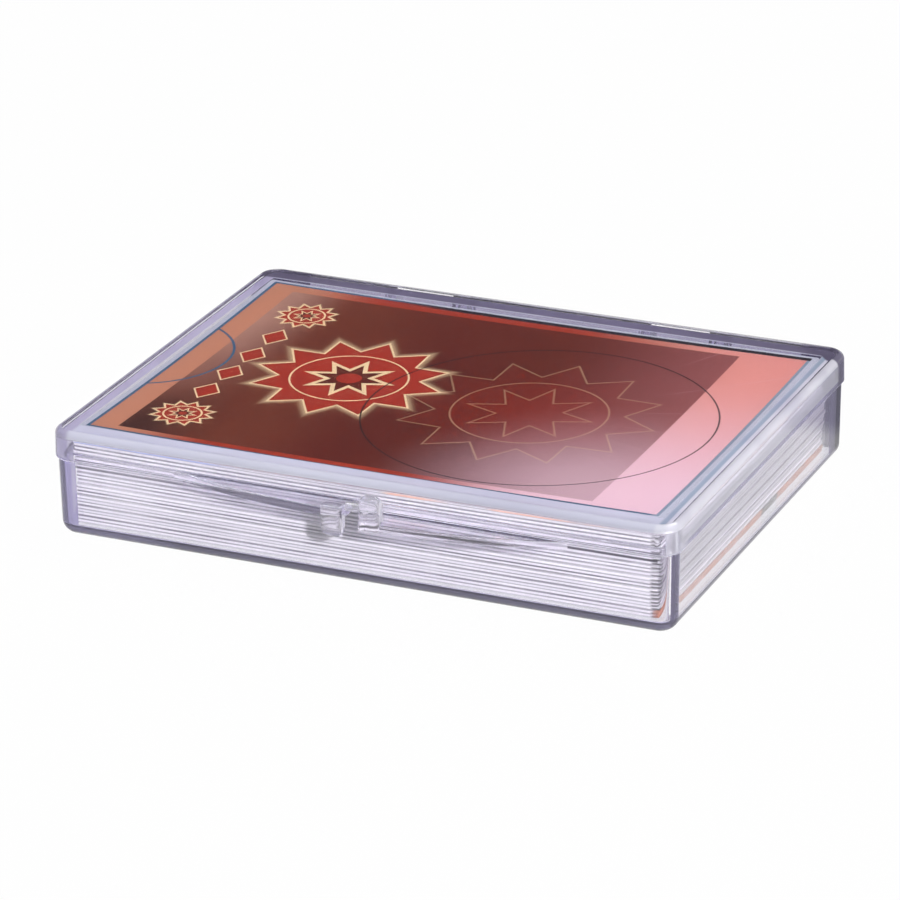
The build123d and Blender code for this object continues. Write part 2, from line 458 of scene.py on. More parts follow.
@dataclass(frozen=True)
class ClearStyrene:
    """Clear moulded polystyrene with a lavender toner.

    Most surface tints stand for the toner, which shows in the thick corner posts, foot and rims of
    the real mouldings, where light goes a long way inside. Others are painted light and shade: the
    dark lines at the seam and on the foot, the dark back posts, the slate backs of the rims and the
    lips' grey are painted shade, and the whiter right rims and the tabs' pale ends are painted light.
    A pair of places says where a tint starts and where it is full.
    """

    refraction: float = 1.59
    roughness: float = 0.012
    smeared: float = 0.03
    gloss: float = 0.5
    milky_gloss: float = 0.2
    flow_mark_scale: float = 26.0
    flow_mark_depth: float = 0.00003
    clear: tuple = srgb(252, 251, 254)
    slate: tuple = srgb(150, 144, 182)
    mauve: tuple = srgb(206, 203, 220)
    milky: tuple = srgb(190, 183, 222)
    rim_left: tuple = srgb(196, 190, 218)
    rim_front: tuple = srgb(228, 229, 244)
    # painted light: the whiter right rims and the tabs' pale ends
    pale_painted_light: tuple = srgb(244, 243, 252)
    # painted shade: slate at the back of the lid's rims and margin, a dark line on top of the foot and a
    # darker right post
    painted_slate_shade: tuple = srgb(112, 106, 128)
    # painted shade: the dark posts at the back
    painted_post_shade: tuple = srgb(64, 60, 78)
    # painted refraction: the grey-blue line that the print's edge makes in the rim beside it
    painted_edge_refraction: tuple = srgb(172, 188, 204)
    # painted shade: the tabs' lavender outline
    curb: tuple = srgb(216, 213, 228)
    # painted shade on the lips' thick sides: grey on the lid's, a paler grey haze on the base's
    lip_shade: tuple = srgb(98, 94, 112)
    lip_haze: tuple = srgb(196, 193, 204)
    # painted shade: the dark line under the seam at the front
    seam_shade: tuple = srgb(70, 66, 78)
    lamp_tints: tuple = (
        srgb(250, 249, 253),
        srgb(228, 225, 236),
        srgb(84, 80, 92),
        srgb(236, 234, 242),
        srgb(246, 245, 249),
        srgb(84, 80, 92),
        srgb(118, 113, 128),
    )
    clarities: tuple = (1.0, 1.0, 0.93, 0.6, 0.25, 0.8, 0.9)
    back_posts: tuple = (30.8, 31.6)
    front_wall: tuple = (-34.9, -35.1)
    seam_line: float = hinge_axis()[1] - 0.65
    seam_right: tuple = (12.0, 22.0)
    seam_left: tuple = (-20.0, -28.0)
    # the height of the painted shade line on top of the foot
    foot_shade_line: float = 1.72
    rim_band: float = 12.4
    band_ends: tuple = (-33.0, -29.0)
    posts_from: tuple = (44.5, 45.1)
    corner_from: tuple = (45.2, 44.8)
    tab_middle: float = 10.75

    def make(self, name: str, skin: Skin, tint: Callable) -> bpy.types.Material:
        """Builds the material.

        Args:
            name: What it covers.
            skin: Which finish it is. Lips and tabs keep back more of the lamps' light.
            tint: A method that turns the sheet into the surface's colour.

        Returns:
            The material: glass with faint flow marks and smears.
        """
        made, sheet = material("clear styrene, " + name)
        flow = sheet.noise(self.flow_mark_scale, 1.0, (1.0, 1.6, 0.7))
        smear = sheet.noise(140.0, 3.0, (1.0, 0.4, 1.0)).ramp(0.45, 0.8)
        values = {
            "Base Color": tint(sheet),
            "Roughness": smear * self.smeared + self.roughness,
            "IOR": self.refraction,
            "Transmission Weight": self.clarities[skin],
            "Specular IOR Level": self.milky_gloss if skin is Skin.EDGE else self.gloss,
            "Normal": sheet.bump(flow, self.flow_mark_depth),
        }
        glass = sheet.shader("BsdfPrincipled", values)
        through = sheet.shader("BsdfTransparent", {"Color": self.lamp_tints[skin]})
        sheet.finish(sheet.shader("MixShader", {0: sheet.ray("Is Shadow Ray"), 1: glass, 2: through}))
        return made

    def base_tint(self, sheet: Sheet) -> Signal:
        """The base: a little slate at the underside, painted shade as a dark line under the seam at the
        front and as dark posts at the back, and clear elsewhere."""
        x, y, z = sheet.x, sheet.y, sheet.z
        # painted shade: a dark line under the seam at the front
        line = (z - self.seam_line).line(0.2, 0.12) * y.ramp(*self.front_wall)
        reach = x.ramp(*self.seam_right) + x.ramp(*self.seam_left) * 0.8
        return sheet.paint(
            self.clear,
            (z.ramp(1.6, 1.0) * 0.3, self.slate),
            (line * reach * abs(x).ramp(*self.corner_from), self.seam_shade),
            # painted shade: dark posts at the back
            (y.ramp(*self.back_posts) * abs(x).ramp(*self.posts_from), self.painted_post_shade),
        )

    def foot_tint(self, sheet: Sheet) -> Signal:
        """The base's foot and corner posts: clouded lavender, with painted shade as darker posts at the
        back, a dark line on top of the foot and a dark right post, and painted light as a pale underside."""
        # painted shade: a dark line on top of the foot, and a darker right post
        line = (sheet.z - self.foot_shade_line).line(0.16, 0.16) * 0.6
        return sheet.paint(
            self.milky,
            (sheet.noise(90.0).ramp(0.3, 0.75) * 0.35, self.slate),
            # painted light: a pale underside
            (sheet.z.ramp(1.1, 0.5) * 0.5, self.rim_front),
            (line.most(sheet.x.ramp(46.0, 46.6) * 0.6), self.painted_slate_shade),
            # painted shade: darker posts at the back
            (sheet.y.ramp(*self.back_posts), self.painted_post_shade),
        )

    def rim_tint(self, sheet: Sheet) -> Signal:
        """The lid's corner posts and right wall: lavender left, slate at the back as painted shade,
        whiter on the right as painted light, pale elsewhere, with a lavender band low on the right."""
        x, y = sheet.x, sheet.y
        band = (sheet.z - self.rim_band).line(0.35, 0.25) * x.ramp(47.0, 47.2) * y.ramp(*self.band_ends)
        return sheet.paint(
            self.rim_front,
            (x.ramp(-42.8, -43.4), self.rim_left),
            # painted light: whiter on the right
            (x.ramp(43.0, 44.0), self.pale_painted_light),
            (band * 0.8, self.slate),
            # painted shade: slate at the back
            (y.ramp(30.0, 31.5), self.painted_slate_shade),
            (sheet.noise(110.0, 2.0, (0.3, 0.3, 1.0)).ramp(0.35, 0.75) * 0.2, self.slate),
        )

    def curb_tint(self, sheet: Sheet) -> Signal:
        """The tabs' rounded sides: a lavender outline that is painted shade, with pale ends as painted
        highlights.
        """
        return sheet.mix(abs(sheet.z - self.tab_middle).ramp(3.4, 3.7), self.curb, self.pale_painted_light)

    def dense_tint(self, sheet: Sheet) -> Signal:
        """The lips' thick sides: painted shade, dark grey on the lid's lip and a paler grey haze on the
        base's.
        """
        return sheet.mix(sheet.x.ramp(0.0, 3.0), self.lip_shade, self.lip_haze)

    def margin_tint(self, sheet: Sheet) -> Signal:
        """The ceiling's margin and the lid's rounded edge: lavender left, whitish right as painted light
        with a grey-blue line beside the print as a painted refraction of its edge, and slate at the back
        as painted shade."""
        x, y = sheet.x, sheet.y
        cloud = sheet.noise(90.0, 2.0, (0.2, 1.0, 1.0)).ramp(0.35, 0.7)
        streak = sheet.noise(260.0, 3.0, (1.0, 0.12, 1.0)).ramp(0.55, 0.75)
        # painted light: a whitish right, with a painted refraction of the print's edge beside the print
        right = sheet.mix(x.ramp(45.6, 45.2) * sheet.z.ramp(15.2, 15.1), self.pale_painted_light, self.painted_edge_refraction)
        return sheet.paint(
            self.rim_front,
            (x.ramp(-44.0, -44.8), self.rim_left),
            (x.ramp(44.2, 44.9), right),
            # painted shade: slate at the back
            ((y + x.ramp(44.0, 46.0) * 1.6).ramp(31.8, 32.4), self.painted_slate_shade),
            (streak * x.ramp(44.9, 45.6) * 0.4, self.slate),
            (cloud * 0.25, self.slate),
        )

    def lid_tint(self, sheet: Sheet) -> Signal:
        """The lid: slate inside the back wall as painted shade, and clear elsewhere."""
        # painted shade: slate inside the back wall
        inner = sheet.y.ramp(34.2, 34.4) * sheet.y.ramp(35.3, 35.1) * sheet.z.ramp(15.0, 14.8)
        return sheet.mix(inner, self.clear, self.slate)

    def latch_tint(self, sheet: Sheet) -> Signal:
        """The lips, tabs and hinges: clear, with faint mauve clouds."""
        return sheet.mix(sheet.noise(300.0).ramp(0.4, 0.8) * 0.3, self.clear, self.mauve)


@dataclass(frozen=True)
class CardStock:
    """White card stock with a cut edge of pressed fibres.

    It reads three attributes of a leaf: rise, which is 0 at its underside and 1 at its top, tone,
    which is each leaf's own shade, and gap, which is how dark the painted shade line under it is.
    The dark lines at the leaves' edges, the darker right ends and the dark teeth at the right front
    corner are painted shade.
    """

    white: tuple = srgb(249, 247, 250)
    shade: tuple = srgb(228, 224, 231)
    # painted shade colours for the lines between the leaves
    groove_shade: tuple = srgb(108, 102, 118)
    deep_shade: tuple = srgb(58, 54, 64)
    # painted shade: the darker right ends of the leaves
    end: tuple = srgb(162, 159, 167)
    ink: tuple = srgb(156, 96, 74)
    dark_ink: tuple = srgb(42, 36, 36)
    green_print: tuple = srgb(214, 226, 214)
    warm_print: tuple = srgb(246, 200, 178)
    cool_print: tuple = srgb(176, 186, 226)
    roughness: float = 0.62
    fibre_depth: float = 0.00002
    right_end: tuple = (43.8, 44.1)
    inked_end: tuple = (43.2, 43.6)
    front_edge: tuple = (-31.9, -32.15)

    def make(self, kind: CardKind) -> bpy.types.Material:
        """Builds the material of one kind of card, with the ink that its edges carry."""
        made, sheet = material("card stock, " + kind.value.replace("_", " "))
        x, y = sheet.x, sheet.y
        rise, tone, gap = (sheet.attribute(held) for held in ("rise", "tone", "gap"))
        cloud = sheet.noise(60.0, 2.0, (1.0, 1.0, 6.0)).ramp(0.3, 0.75)
        # painted shade: dark lines at each leaf's top and bottom edge, dark teeth at the right front corner,
        # and a dark line under a leaf with a high gap
        gap_shade = abs(rise - 0.5).ramp(0.22, 0.38) * (0.7 + 0.3 * sheet.noise(200.0).ramp(0.3, 0.6))
        corner_shade_reach = x.ramp(42.8, 43.4) * y.ramp(-31.5, -31.7)
        shade_teeth = rise.ramp(0.75, 0.5) * sheet.noise(500.0).ramp(0.25, 0.45) * corner_shade_reach
        under = rise.ramp(0.22, 0.08) * gap.ramp(0.85, 1.0)
        colour = sheet.paint(
            self.white,
            (cloud * 0.4 + tone * 0.6, self.shade),
            (x.ramp(*self.right_end), self.end),
            (gap_shade * (0.55 + 0.45 * gap), self.groove_shade),
            (shade_teeth.most(under) * 0.9, self.deep_shade),
        )
        if kind is CardKind.INKED_END:
            ink = sheet.mix((y - 8.0).line(3.2, 1.2), self.ink, self.dark_ink)
            worn = sheet.noise(420.0, 3.0).ramp(0.3, 0.6)
            colour = sheet.mix(x.ramp(*self.inked_end) * (0.75 + worn * 0.25), colour, ink)
        if kind is CardKind.TINTED_FRONT:
            warm = x.ramp(2.0, 5.0) * x.ramp(40.0, 34.0)
            cool = x.ramp(-16.0, -22.0)
            worn = sheet.noise(90.0).ramp(0.35, 0.55)
            tint = sheet.paint(self.green_print, (warm, self.warm_print), (cool, self.cool_print))
            colour = sheet.mix(y.ramp(*self.front_edge) * worn * warm.most(cool), colour, tint)
        fibre = sheet.bump(sheet.noise(900.0, 2.0, (0.6, 0.6, 3.0)), self.fibre_depth, 0.5)
        values = {"Base Color": colour, "Roughness": self.roughness, "Normal": fibre}
        sheet.finish(sheet.shader("BsdfPrincipled", values))
        return made


@dataclass(frozen=True)
class PrintedFace:
    """The print of the top card: a shaded border, a dark field and star medallions.

    Places are millimetres from the middle of the card, x along its length. The field carries
    painted reflections: a haze at each end and a glare with rays at the front right. A black painted
    shadow runs along the back edge, and the grey-blue right edge is a painted refraction.
    """

    margin_x: float = 0.9
    margin_y: float = 0.65
    field_low: tuple = (-39.3, -29.3)
    field_high: tuple = (33.2, 28.4)
    medallions: tuple = (((-17.0, 0.5), 14.5), ((-33.2, 20.4), 4.6), ((-33.2, -21.2), 4.6))
    ghost: tuple = (12.5, -2.0)
    lozenges: tuple = (-34.0, -0.4)
    lozenge_pitch: float = 7.6
    ring: tuple = ((14.5, -3.0), 25.6)
    band: tuple = ((-50.0, -1.0), 13.6)
    glare: tuple = (32.0, -26.0)
    glare_reach: float = 34.0
    # where the painted shadow along the back edge starts
    back_shadow_from: tuple = (-26.0, -12.0)
    line_width: float = 0.5
    # the width of the painted shadow along the back edge
    back_shadow_width: float = 1.0
    edge: float = 0.1
    shine: float = 0.15
    grain_depth: float = 0.00001
    margin: tuple = srgb(196, 200, 212)
    outline: tuple = srgb(52, 94, 124)
    # painted refraction: the grey-blue line along the right edge
    painted_refraction_line: tuple = srgb(132, 152, 168)
    peach: tuple = srgb(200, 135, 103)
    ember: tuple = srgb(168, 54, 28)
    coral: tuple = srgb(230, 150, 138)
    rose: tuple = srgb(244, 204, 214)
    field: tuple = srgb(92, 26, 12)
    field_warm: tuple = srgb(120, 60, 36)
    # painted reflections: the hazes at both ends and the glare
    field_left_painted_reflection: tuple = srgb(178, 134, 116)
    field_soot: tuple = srgb(48, 26, 22)
    field_right_painted_reflection: tuple = srgb(158, 92, 90)
    field_glare: tuple = srgb(214, 180, 188)
    brick: tuple = srgb(166, 44, 24)
    cream: tuple = srgb(248, 222, 170)
    # the ink of the ring line, and the painted shadow along the back edge
    night_ink_and_shadow: tuple = srgb(20, 18, 24)
    cut_edge: tuple = srgb(236, 233, 240)

    def disc(self, at: tuple, centre: tuple, radius: float) -> Signal:
        """The distance outside a circle."""
        across, up = at[0] - centre[0], at[1] - centre[1]
        return (across * across + up * up).math("SQRT") - radius

    def angle(self, at: tuple, centre: tuple) -> Signal:
        """The angle round a centre in radians."""
        return (at[1] - centre[1]).math("ARCTAN2", at[0] - centre[0])

    def box(self, at: tuple, low: tuple, high: tuple) -> Signal:
        """The distance outside an oblong: the larger of those past its sides and past its ends."""
        half_x, half_y = (high[0] - low[0]) / 2, (high[1] - low[1]) / 2
        return (abs(at[0] - (low[0] + half_x)) - half_x).most(abs(at[1] - (low[1] + half_y)) - half_y)

    def star(self, at: tuple, centre: tuple, points: int, tip: float, notch: float) -> Signal:
        """The distance outside a pointed star.

        The turn about the centre is folded into half a point, where the star's edge is one straight
        line from the tip to the notch, and the distance is measured square to that line.

        Args:
            at: The place along and across the card.
            centre: The star's middle.
            points: How many points it has.
            tip: How far its tips reach.
            notch: How far its notches reach.

        Returns:
            The distance in millimetres, below zero inside.
        """
        reach = self.disc(at, centre, 0.0)
        turns = self.angle(at, centre) * (points / (2 * pi)) + 0.5
        fold = abs(turns.math("FRACT") - 0.5) * (2 * pi / points)
        run = notch * cos(pi / points) - tip
        climb = notch * sin(pi / points)
        length = (run**2 + climb**2) ** 0.5
        along = (reach * fold.math("COSINE") - tip) * (climb / length)
        return along - reach * fold.math("SINE") * (run / length)

    def medallion(self, sheet: Sheet, at: tuple, colour: Signal, centre: tuple, size: float) -> Signal:
        """Adds a brick-red star with a cream outline, a glow and a rosette at its heart."""
        far = self.star(at, centre, 12, size, size * 0.72)
        petals = self.star(at, centre, 8, size * 0.5, size * 0.25)
        return sheet.paint(
            colour,
            (far.ramp(size * 0.12, 0.0).math("POWER", 2.0) * 0.5, self.cream),
            (far.inside(self.edge), self.brick),
            (far.line(0.15, self.edge), self.cream),
            (self.disc(at, centre, size * 0.6).line(0.14, self.edge), self.cream),
            (petals.inside(self.edge), self.cream),
            ((petals + size * 0.045).inside(self.edge), self.field),
            (self.disc(at, centre, size * 0.13).inside(self.edge), self.brick),
        )

    def border(self, sheet: Sheet, x: Signal, y: Signal) -> Signal:
        """The border: peach at the left, ember along the middle, coral to rose at the right."""
        return sheet.paint(
            self.peach,
            (x.ramp(0.0, 40.0), self.coral),
            (x.ramp(-40.0, -24.0) * x.ramp(30.0, 6.0), self.ember),
            (x.ramp(4.0, 28.0) * y.ramp(24.0, -26.0), self.rose),
        )

    def dark_field(self, sheet: Sheet, x: Signal, y: Signal) -> Signal:
        """The field: hazes at both ends and a glare at the front right, which are painted reflections, soot
        at the front left, a faint star and the medallions.
        """
        at = (x, y)
        mottle = sheet.noise(40.0).ramp(0.3, 0.8)
        colour = sheet.paint(
            self.field,
            (mottle * 0.2 + x.ramp(-6.0, -26.0) * 0.5, self.field_warm),
            # painted reflections: hazes at both ends and a glare at the front right
            (x.ramp(-28.0, -41.0) * y.ramp(-26.0, 20.0), self.field_left_painted_reflection),
            (x.ramp(-24.0, -38.0) * y.ramp(-6.0, -28.0) * 0.8, self.field_soot),
            (x.ramp(6.0, 36.0) * 0.75, self.field_right_painted_reflection),
            (self.disc(at, self.glare, 0.0).ramp(self.glare_reach, 0.0) * 0.85, self.field_glare),
        )
        for far in (
            self.star(at, self.ghost, 12, 19.0, 13.7),
            self.star(at, self.ghost, 8, 9.5, 4.8),
            self.disc(at, self.ghost, 11.4),
        ):
            line = far.line(0.14, 0.2)
            colour = sheet.paint(colour, (far.inside(0.4) * 0.12, self.brick), (line * 0.22, self.cream))
        for centre, size in self.medallions:
            colour = self.medallion(sheet, at, colour, centre, size)
        for row in (-1.5, -0.5, 0.5, 1.5):
            up = abs(y - (self.lozenges[1] + row * self.lozenge_pitch))
            far = (abs(x - self.lozenges[0]) * 1.5 + up - 3.0) * 0.55
            line = far.line(0.12, self.edge)
            colour = sheet.paint(colour, (far.inside(self.edge), self.brick), (line, self.cream))
        return colour

    def make(self, name: str, middle: np.ndarray, half: np.ndarray) -> bpy.types.Material:
        """Builds the material.

        Args:
            name: The material's name.
            middle: The middle of the card.
            half: Half the card's length and width.

        Returns:
            The material.
        """
        made, sheet = material(name)
        x, y = sheet.x - middle[0], sheet.y - middle[1]
        at, soft = (x, y), self.edge
        field = self.box(at, self.field_low, self.field_high).inside(soft)
        # painted light: rose rays of the glare about the faint star, towards the right
        rays = self.angle(at, self.ghost) * 9.0
        colour = sheet.paint(
            self.border(sheet, x, y),
            (field, self.dark_field(sheet, x, y)),
            (self.disc(at, *self.ring).line(0.13, soft) * 0.9, self.night_ink_and_shadow),
            (self.disc(at, *self.band).line(0.2, soft), self.outline),
            (abs(rays.math("SINE")).ramp(0.03, 0.0) * x.ramp(24.0, 32.0) * 0.3, self.rose),
        )
        corner = half - [self.margin_x, self.margin_y]
        far = self.box(at, -corner, corner)
        # painted shadow: the outline turns black and a black band runs along the back edge, towards the right
        behind = x.ramp(*self.back_shadow_from)
        line = sheet.paint(
            self.outline, (y.ramp(29.0, 30.0) * behind, self.night_ink_and_shadow), (x.ramp(42.0, 43.0), self.painted_refraction_line)
        )
        colour = sheet.mix((far + self.line_width).inside(soft), line, colour)
        colour = sheet.mix((corner[1] - self.back_shadow_width - y).inside(soft) * behind, colour, self.night_ink_and_shadow)
        colour = sheet.mix(far.inside(soft), self.margin, colour)
        grain = sheet.noise(700.0)
        values = {
            "Base Color": sheet.mix(sheet.attribute("rise").ramp(0.7, 0.6), colour, self.cut_edge),
            "Roughness": grain * 0.1 + 0.34,
            "Specular IOR Level": self.shine,
            "Normal": sheet.bump(grain, self.grain_depth, 0.3),
        }
        sheet.finish(sheet.shader("BsdfPrincipled", values))
        return made


# Sub-assemblies


def dress(piece: Piece, finishes: list, body: Body, slot: str, *nodes: str) -> None:
    """Gives a piece its materials and its body, and hides the nodes it stands for.

    Args:
        piece: The mesh object.
        finishes: Its materials, in the order of its faces' numbers.
        body: The body it rides on.
        slot: The material slot of the record; not used.
        nodes: The names of the nodes it replaces.
    """
    held = piece.data.materials
    for number, finish in enumerate(finishes):
        if number < len(held):
            held[number] = finish
        else:
            held.append(finish)
    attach(piece, body.value)
    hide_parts(*nodes)
    LOG.info("%s rides on %s with %d faces", piece.name, body.value, len(piece.data.polygons))


@dataclass
class Latch:
    """The two half lenses at the front and their tabs."""

    offset: float = 1.5
    half_span: float = 29.0
    reach: float = 4.1
    thickness: float = 1.3
    edge: float = 0.3
    tab_width: float = 3.4
    tab_spacing: float = 2.4
    tab_depth: float = 1.7
    stand_out: float = 0.15
    end_radius: float = 1.35
    start_radius: float = 0.35
    catch_nose: float = 0.45
    wall_bite: float = 0.4
    tip_bite: float = 0.3
    side_turn: float = 0.8
    end_inset: float = 0.2
    stations: int = 60
    face_strips: int = 8
    dense_strips: int = 16
    tab_steps: int = 48
    tab_power: float = 0.55
    tab_draw: tuple = (1, 0.6)
    catch_steps: int = 28
    catch_power: float = 0.5
    catch_root: float = 1.36
    catch_gap: float = 0.1
    corner_share: float = 0.45

    def lip(self, name: str, side: int, face: float, wall_face: float, low: float) -> Piece:
        """Half of the lens: a section with rounded front corners, carried from the tab to the tip.

        The outer edge is one arc, so at a place x the front is the arc's centre less the root of the
        radius squared less x squared. The dense finish takes fewer of the strips round the front
        towards the tip: their count times one less the cube of the share of the way.

        Args:
            name: The new object's name.
            side: 1 for the right half, -1 for the left.
            face: The y of the lid's front, from which the reach is measured.
            wall_face: The y of the wall that this half grows from.
            low: The height of its underside.

        Returns:
            The closed lip.
        """
        radius = (self.half_span**2 + self.reach**2) / (2 * self.reach)
        centre = face - self.reach + radius
        tip = np.sqrt(radius**2 - (centre - wall_face) ** 2)
        along = np.linspace(self.tab_spacing / 2, tip + self.tip_bite, self.stations)[:, None]
        front = centre - np.sqrt(radius**2 - along**2)
        back = wall_face + self.wall_bite
        rounding = np.minimum(self.edge, (back - front) * self.corner_share)
        inset, rise = round_over(6).T
        y_low, z_low = front + rounding * inset, low + rounding * rise
        y_high, z_high = y_low[:, ::-1], 2 * low + self.thickness - z_low[:, ::-1]
        share = np.linspace(0, 1, self.face_strips + 1)[1:-1]
        z_face = z_low[:, -1:] + (z_high[:, :1] - z_low[:, -1:]) * share
        y_face = np.broadcast_to(front, z_face.shape)
        backs = np.full((len(along), 2), back)
        ends = np.broadcast_to([low + self.thickness, low], backs.shape)
        y = np.concatenate([y_low, y_face, y_high, backs], axis=1)
        z = np.concatenate([z_low, z_face, z_high, ends], axis=1)
        x = np.broadcast_to(self.offset + side * along, y.shape)
        taper = 1 - np.linspace(0, 1, len(along) - 1)[:, None] ** 3
        dense = np.arange(y.shape[1]) < taper * self.dense_strips
        return loft(name, np.stack([x, y, z], axis=2), np.where(dense, Skin.DENSE, Skin.LIP), Skin.LIP)

    def tab(self, name: str, side: int, face: float, low: float, high: float, rounded: int) -> Piece:
        """An upright tab: a superellipse that is drawn in by a round at each end.

        Args:
            name: The new object's name.
            side: 1 for the right tab, -1 for the left.
            face: The y of the lid's front.
            low: The height of its bottom.
            high: The height of its top.
            rounded: 1 where the top is the rounder end, -1 where the bottom is.

        Returns:
            The closed tab.
        """
        front = face - self.reach - self.stand_out
        middle = (self.offset + side * (self.tab_spacing + self.tab_width) / 2, front + self.tab_depth / 2)
        end, start = round_over(12) * self.end_radius, round_over(12) * self.start_radius
        inset, rise = path(end, (start * [1, -1] + [0, high - low])[::-1]).T
        half = np.array([self.tab_width / 2, self.tab_depth / 2])
        shrink = 1 - inset[:, None, None] * self.tab_draw / half
        flat = middle + oblong(self.tab_steps, self.tab_power) * half * shrink
        beside = np.abs(np.cos((np.arange(self.tab_steps) + 0.5) * 2 * pi / self.tab_steps)) > self.side_turn
        curbed = beside | (inset[:-1, None] > self.end_inset)
        rings = raised(flat, low + rise if rounded < 0 else high - rise)
        return loft(name, rings, np.where(curbed, Skin.CURB, Skin.TAB), Skin.CURB)

    def catch(self, name: str, face: float, low: float, height: float, depth: float) -> Piece:
        """The catch: a small bar from the right tab towards the left tab.

        It is a superellipse in y and z, carried along x and drawn in by a round at its free end.
        """
        middle = (face - self.reach - self.stand_out + self.tab_depth / 2, low + height / 2)
        right = self.offset + self.tab_spacing / 2 + self.catch_root
        left = self.offset - self.tab_spacing / 2 + self.catch_gap
        inset, run = round_over(9).T * self.catch_nose
        half = np.array([depth / 2, height / 2])
        outline = oblong(self.catch_steps, self.catch_power)
        flat = middle + outline * (half - np.append(inset, 0.0)[:, None, None])
        rings = np.roll(raised(flat, np.append(left + run, right)), 1, axis=2)
        return loft(name, rings, Skin.TAB, Skin.TAB)


@dataclass
class Hinge:
    """The ears of the base and the knuckles of the lid."""

    spacing: float = 41.6
    width: float = 13.6
    ear: float = 2.0
    radius: float = 1.9
    side_gap: float = 0.15
    pin: float = 0.9
    bore: float = 0.95
    mouth: float = 1.5
    web_drop: float = 3.4
    wall_bite: float = 0.4
    pin_gap: float = 0.1
    heel_gap: float = 0.06
    heel_corner: float = 0.35

    def across(self, name: str, outline: np.ndarray, middle: float, length: float) -> Piece:
        """An outline of (y, z) carried straight along x, with the first and last sections as ends."""
        flat = np.broadcast_to(outline, (2,) + outline.shape)
        rings = np.roll(raised(flat, [middle - length / 2, middle + length / 2]), 1, axis=2)
        return loft(name, rings, Skin.LIP, Skin.LIP)

    def ear_outline(self, axis: tuple, wall: float) -> np.ndarray:
        """A boss on a web, with a round bore that is open upwards through a narrower mouth."""
        lip, throat = (np.degrees(np.arcsin(self.mouth / 2 / radius)) for radius in (self.radius, self.bore))
        return path(
            arc(axis, self.radius, 90 - lip, -90, 22),
            (wall, axis[1] - self.web_drop),
            (wall, axis[1]),
            arc(axis, self.radius, 180, 90 + lip, 10),
            arc(axis, self.bore, 90 + throat, 450 - throat, 30),
        )

    def knuckle_outline(self, axis: tuple, wall: float, rim: float, heel: float) -> np.ndarray:
        """A barrel under a square arm that reaches out to the heel."""
        rise = np.degrees(np.arcsin((rim - axis[1]) / self.radius))
        corner = self.heel_corner
        out, top = axis[0] + heel, axis[1] + self.radius
        return path(
            (wall, rim),
            arc(axis, self.radius, 180 - rise, 360 + rise, 26),
            (out, rim),
            arc((out - corner, top - corner), corner, 0, 90, 6),
            (wall, top),
        )

    def middles(self) -> tuple:
        """The middle of each hinge along x."""
        return (-self.spacing / 2, self.spacing / 2)

    def ears(self, axis: tuple, wall: float) -> list:
        """The four ears of the base."""
        outline = self.ear_outline(axis, wall - self.wall_bite)
        places = [m + s * (self.width - self.ear) / 2 for m in self.middles() for s in (-1, 1)]
        return [self.across(f"ear_{k}", outline, place, self.ear) for k, place in enumerate(places)]

    def knuckles(self, axis: tuple, wall: float, rim: float, base_wall: float) -> list:
        """The two knuckles of the lid, each with a pin through it."""
        heel = axis[0] - base_wall - self.heel_gap
        outline = self.knuckle_outline(axis, wall - self.wall_bite, rim, heel)
        length = self.width - 2 * self.ear - 2 * self.side_gap
        pin = arc(axis, self.pin, 0, 345, 24)
        made = []
        for k, middle in enumerate(self.middles()):
            made.append(self.across(f"knuckle_{k}", outline, middle, length))
            made.append(self.across(f"pin_{k}", pin, middle, self.width - 2 * self.pin_gap))
        return made


